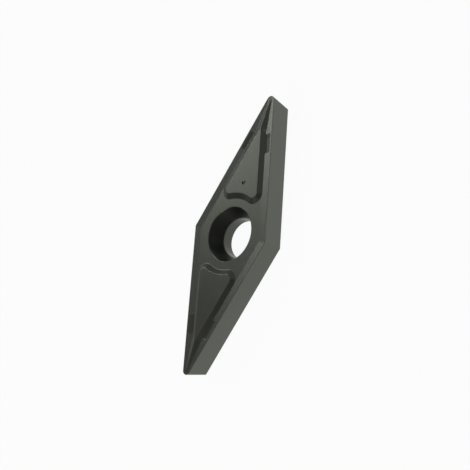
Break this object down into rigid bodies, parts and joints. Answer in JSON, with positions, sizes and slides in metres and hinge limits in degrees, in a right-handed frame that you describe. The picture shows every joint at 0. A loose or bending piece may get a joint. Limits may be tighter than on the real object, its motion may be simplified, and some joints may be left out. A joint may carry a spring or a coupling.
{
  "type": "carbide insert",
  "caption": "Double-ended 35 degree rhombic carbide cutting insert with positive flanks, raised chip-former islands and a countersunk hole.",
  "frame": {"origin": "on the hole axis, at the flat bottom face", "axes": "+X along the long diagonal, +Z out of the rake face"},
  "size_m": [0.0246, 0.0082, 0.0025],
  "materials": {
    "carbide": "sintered and ground cemented carbide, dark grey, satin"
  },
  "bodies": {
    "root": {"insert": "carbide"}
  },
  "joints": []
}
